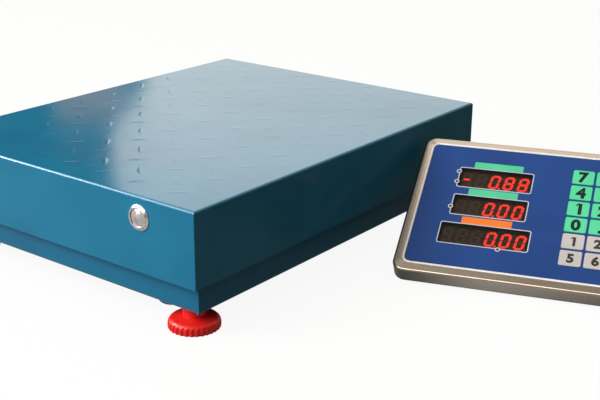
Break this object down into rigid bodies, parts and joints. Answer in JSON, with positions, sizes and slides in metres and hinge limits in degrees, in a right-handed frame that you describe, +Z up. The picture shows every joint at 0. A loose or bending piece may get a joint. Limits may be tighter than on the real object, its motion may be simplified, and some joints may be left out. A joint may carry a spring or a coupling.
{
  "type": "platform scale with indicator",
  "caption": "Platform scale with a raised tread cover on levelling feet and a load cell inside, and a separate tilted indicator on a wire stand with digit windows and a keypad.",
  "frame": {"origin": "on the floor, under the middle of the box round the platform and the indicator", "axes": "+X from the platform to the indicator, +Y from the button's side to the rear, +Z up"},
  "size_m": [0.7329, 0.5042, 0.1332],
  "materials": {
    "cover_paint": "hammered gloss enamel",
    "frame_paint": "gloss enamel",
    "spider_paint": "gloss enamel",
    "zinc_steel": "zinc plated",
    "knob_plastic": "moulded",
    "black_rubber": "matt",
    "cell_alloy": "milled",
    "bezel_steel": "polished",
    "box_plastic": "fine texture",
    "board_laminate": "solder mask",
    "battery_case": "moulded",
    "lead_sheath": "extruded",
    "case_steel": "stainless",
    "panel_film": "printed film",
    "key_green": "printed film",
    "key_grey": "printed film",
    "smoked_window": "smoked",
    "display_face": "red digits",
    "cell_pack": "shrink sleeve"
  },
  "bodies": {
    "base": {"base_frame": "frame_paint", "foot_thread_nuts": "zinc_steel", "load_spider": "spider_paint", "support_pads": "black_rubber", "load_cell": "cell_alloy", "load_cell_bolts": "zinc_steel", "overload_stops": "zinc_steel", "transmitter_box": "box_plastic", "transmitter_lid": "box_plastic", "transmitter_board": "board_laminate", "platform_battery": "battery_case", "base_leads": "lead_sheath"},
    "cover": {"top_cover": "cover_paint", "power_button_bezel": "bezel_steel", "power_button_nut": "zinc_steel", "button_lead": "lead_sheath"},
    "power_button": {"power_button_cap": "bezel_steel"},
    "stud_fl": {"foot_stud_fl": "zinc_steel"},
    "knob_fl": {"foot_knob_fl": "knob_plastic"},
    "stud_fr": {"foot_stud_fr": "zinc_steel"},
    "knob_fr": {"foot_knob_fr": "knob_plastic"},
    "stud_rl": {"foot_stud_rl": "zinc_steel"},
    "knob_rl": {"foot_knob_rl": "knob_plastic"},
    "stud_rr": {"foot_stud_rr": "zinc_steel"},
    "knob_rr": {"foot_knob_rr": "knob_plastic"},
    "indicator": {"indicator_front_case": "case_steel", "indicator_back_cover": "case_steel", "keypad_panel": "panel_film", "display_windows": "smoked_window", "led_displays": "display_face", "indicator_board": "board_laminate", "indicator_battery": "cell_pack", "indicator_feet": "black_rubber", "indicator_screws": "zinc_steel"},
    "stand": {"indicator_stand": "zinc_steel", "stand_sleeves": "black_rubber"},
    "key_memory_5": {"key_memory_5": "key_grey"},
    "key_memory_6": {"key_memory_6": "key_grey"},
    "key_memory_7": {"key_memory_7": "key_grey"},
    "key_memory_8": {"key_memory_8": "key_grey"},
    "key_memory_1": {"key_memory_1": "key_grey"},
    "key_memory_2": {"key_memory_2": "key_grey"},
    "key_memory_3": {"key_memory_3": "key_grey"},
    "key_memory_4": {"key_memory_4": "key_grey"},
    "key_0": {"key_0": "key_green"},
    "key_point": {"key_point": "key_green"},
    "key_clear": {"key_clear": "key_green"},
    "key_total": {"key_total": "key_green"},
    "key_1": {"key_1": "key_green"},
    "key_2": {"key_2": "key_green"},
    "key_3": {"key_3": "key_green"},
    "key_add": {"key_add": "key_green"},
    "key_4": {"key_4": "key_green"},
    "key_5": {"key_5": "key_green"},
    "key_6": {"key_6": "key_green"},
    "key_tare": {"key_tare": "key_green"},
    "key_7": {"key_7": "key_green"},
    "key_8": {"key_8": "key_green"},
    "key_9": {"key_9": "key_green"},
    "key_zero_set": {"key_zero_set": "key_green"}
  },
  "joints": [
    {"name": "cover_lift", "type": "slide", "parent": "base", "child": "cover", "axis": [0, 0, 1], "range_m": [0, 0.12]},
    {"name": "indicator_lift", "type": "slide", "parent": "base", "child": "indicator", "axis": [0, 0, 1], "range_m": [0, 0.15]},
    {"name": "stand_fold", "type": "hinge", "parent": "indicator", "child": "stand", "pos_m": [0.18991, 0.15026, 0.06261], "axis": [0.9438, 0.3305, 0], "range_deg": [-73, 0]},
    {"name": "power_button_press", "type": "slide", "parent": "cover", "child": "power_button", "axis": [0, 1, 0], "range_m": [0, 0.002], "stiffness_N_per_m": 1500, "springref_m": -0.001},
    {"name": "foot_travel_fl", "type": "slide", "parent": "base", "child": "stud_fl", "axis": [0, 0, -1], "range_m": [-0.0014, 0.0106]},
    {"name": "foot_turn_fl", "type": "hinge", "parent": "stud_fl", "child": "knob_fl", "pos_m": [-0.33472, -0.219, 0.015], "axis": [0, 0, -1], "range_deg": [-270, 2160]},
    {"name": "foot_travel_fr", "type": "slide", "parent": "base", "child": "stud_fr", "axis": [0, 0, -1], "range_m": [-0.0014, 0.0106]},
    {"name": "foot_turn_fr", "type": "hinge", "parent": "stud_fr", "child": "knob_fr", "pos_m": [0.00128, -0.219, 0.015], "axis": [0, 0, -1], "range_deg": [-270, 2160]},
    {"name": "foot_travel_rl", "type": "slide", "parent": "base", "child": "stud_rl", "axis": [0, 0, -1], "range_m": [-0.0014, 0.0106]},
    {"name": "foot_turn_rl", "type": "hinge", "parent": "stud_rl", "child": "knob_rl", "pos_m": [-0.33472, 0.219, 0.015], "axis": [0, 0, -1], "range_deg": [-270, 2160]},
    {"name": "foot_travel_rr", "type": "slide", "parent": "base", "child": "stud_rr", "axis": [0, 0, -1], "range_m": [-0.0014, 0.0106]},
    {"name": "foot_turn_rr", "type": "hinge", "parent": "stud_rr", "child": "knob_rr", "pos_m": [0.00128, 0.219, 0.015], "axis": [0, 0, -1], "range_deg": [-270, 2160]},
    {"name": "key_memory_5_press", "type": "slide", "parent": "indicator", "child": "key_memory_5", "axis": [-0.1722, 0.4917, -0.8536], "range_m": [0, 0.0005], "stiffness_N_per_m": 3000, "springref_m": -0.0003},
    {"name": "key_memory_6_press", "type": "slide", "parent": "indicator", "child": "key_memory_6", "axis": [-0.1722, 0.4917, -0.8536], "range_m": [0, 0.0005], "stiffness_N_per_m": 3000, "springref_m": -0.0003},
    {"name": "key_memory_7_press", "type": "slide", "parent": "indicator", "child": "key_memory_7", "axis": [-0.1722, 0.4917, -0.8536], "range_m": [0, 0.0005], "stiffness_N_per_m": 3000, "springref_m": -0.0003},
    {"name": "key_memory_8_press", "type": "slide", "parent": "indicator", "child": "key_memory_8", "axis": [-0.1722, 0.4917, -0.8536], "range_m": [0, 0.0005], "stiffness_N_per_m": 3000, "springref_m": -0.0003},
    {"name": "key_memory_1_press", "type": "slide", "parent": "indicator", "child": "key_memory_1", "axis": [-0.1722, 0.4917, -0.8536], "range_m": [0, 0.0005], "stiffness_N_per_m": 3000, "springref_m": -0.0003},
    {"name": "key_memory_2_press", "type": "slide", "parent": "indicator", "child": "key_memory_2", "axis": [-0.1722, 0.4917, -0.8536], "range_m": [0, 0.0005], "stiffness_N_per_m": 3000, "springref_m": -0.0003},
    {"name": "key_memory_3_press", "type": "slide", "parent": "indicator", "child": "key_memory_3", "axis": [-0.1722, 0.4917, -0.8536], "range_m": [0, 0.0005], "stiffness_N_per_m": 3000, "springref_m": -0.0003},
    {"name": "key_memory_4_press", "type": "slide", "parent": "indicator", "child": "key_memory_4", "axis": [-0.1722, 0.4917, -0.8536], "range_m": [0, 0.0005], "stiffness_N_per_m": 3000, "springref_m": -0.0003},
    {"name": "key_0_press", "type": "slide", "parent": "indicator", "child": "key_0", "axis": [-0.1722, 0.4917, -0.8536], "range_m": [0, 0.0005], "stiffness_N_per_m": 3000, "springref_m": -0.0003},
    {"name": "key_point_press", "type": "slide", "parent": "indicator", "child": "key_point", "axis": [-0.1722, 0.4917, -0.8536], "range_m": [0, 0.0005], "stiffness_N_per_m": 3000, "springref_m": -0.0003},
    {"name": "key_clear_press", "type": "slide", "parent": "indicator", "child": "key_clear", "axis": [-0.1722, 0.4917, -0.8536], "range_m": [0, 0.0005], "stiffness_N_per_m": 3000, "springref_m": -0.0003},
    {"name": "key_total_press", "type": "slide", "parent": "indicator", "child": "key_total", "axis": [-0.1722, 0.4917, -0.8536], "range_m": [0, 0.0005], "stiffness_N_per_m": 3000, "springref_m": -0.0003},
    {"name": "key_1_press", "type": "slide", "parent": "indicator", "child": "key_1", "axis": [-0.1722, 0.4917, -0.8536], "range_m": [0, 0.0005], "stiffness_N_per_m": 3000, "springref_m": -0.0003},
    {"name": "key_2_press", "type": "slide", "parent": "indicator", "child": "key_2", "axis": [-0.1722, 0.4917, -0.8536], "range_m": [0, 0.0005], "stiffness_N_per_m": 3000, "springref_m": -0.0003},
    {"name": "key_3_press", "type": "slide", "parent": "indicator", "child": "key_3", "axis": [-0.1722, 0.4917, -0.8536], "range_m": [0, 0.0005], "stiffness_N_per_m": 3000, "springref_m": -0.0003},
    {"name": "key_add_press", "type": "slide", "parent": "indicator", "child": "key_add", "axis": [-0.1722, 0.4917, -0.8536], "range_m": [0, 0.0005], "stiffness_N_per_m": 3000, "springref_m": -0.0003},
    {"name": "key_4_press", "type": "slide", "parent": "indicator", "child": "key_4", "axis": [-0.1722, 0.4917, -0.8536], "range_m": [0, 0.0005], "stiffness_N_per_m": 3000, "springref_m": -0.0003},
    {"name": "key_5_press", "type": "slide", "parent": "indicator", "child": "key_5", "axis": [-0.1722, 0.4917, -0.8536], "range_m": [0, 0.0005], "stiffness_N_per_m": 3000, "springref_m": -0.0003},
    {"name": "key_6_press", "type": "slide", "parent": "indicator", "child": "key_6", "axis": [-0.1722, 0.4917, -0.8536], "range_m": [0, 0.0005], "stiffness_N_per_m": 3000, "springref_m": -0.0003},
    {"name": "key_tare_press", "type": "slide", "parent": "indicator", "child": "key_tare", "axis": [-0.1722, 0.4917, -0.8536], "range_m": [0, 0.0005], "stiffness_N_per_m": 3000, "springref_m": -0.0003},
    {"name": "key_7_press", "type": "slide", "parent": "indicator", "child": "key_7", "axis": [-0.1722, 0.4917, -0.8536], "range_m": [0, 0.0005], "stiffness_N_per_m": 3000, "springref_m": -0.0003},
    {"name": "key_8_press", "type": "slide", "parent": "indicator", "child": "key_8", "axis": [-0.1722, 0.4917, -0.8536], "range_m": [0, 0.0005], "stiffness_N_per_m": 3000, "springref_m": -0.0003},
    {"name": "key_9_press", "type": "slide", "parent": "indicator", "child": "key_9", "axis": [-0.1722, 0.4917, -0.8536], "range_m": [0, 0.0005], "stiffness_N_per_m": 3000, "springref_m": -0.0003},
    {"name": "key_zero_set_press", "type": "slide", "parent": "indicator", "child": "key_zero_set", "axis": [-0.1722, 0.4917, -0.8536], "range_m": [0, 0.0005], "stiffness_N_per_m": 3000, "springref_m": -0.0003}
  ],
  "couplings": [
    {"joint": "foot_travel_fl", "follows": "foot_turn_fl", "m_per_rad": 0.00027852},
    {"joint": "foot_travel_fr", "follows": "foot_turn_fr", "m_per_rad": 0.00027852},
    {"joint": "foot_travel_rl", "follows": "foot_turn_rl", "m_per_rad": 0.00027852},
    {"joint": "foot_travel_rr", "follows": "foot_turn_rr", "m_per_rad": 0.00027852}
  ]
}
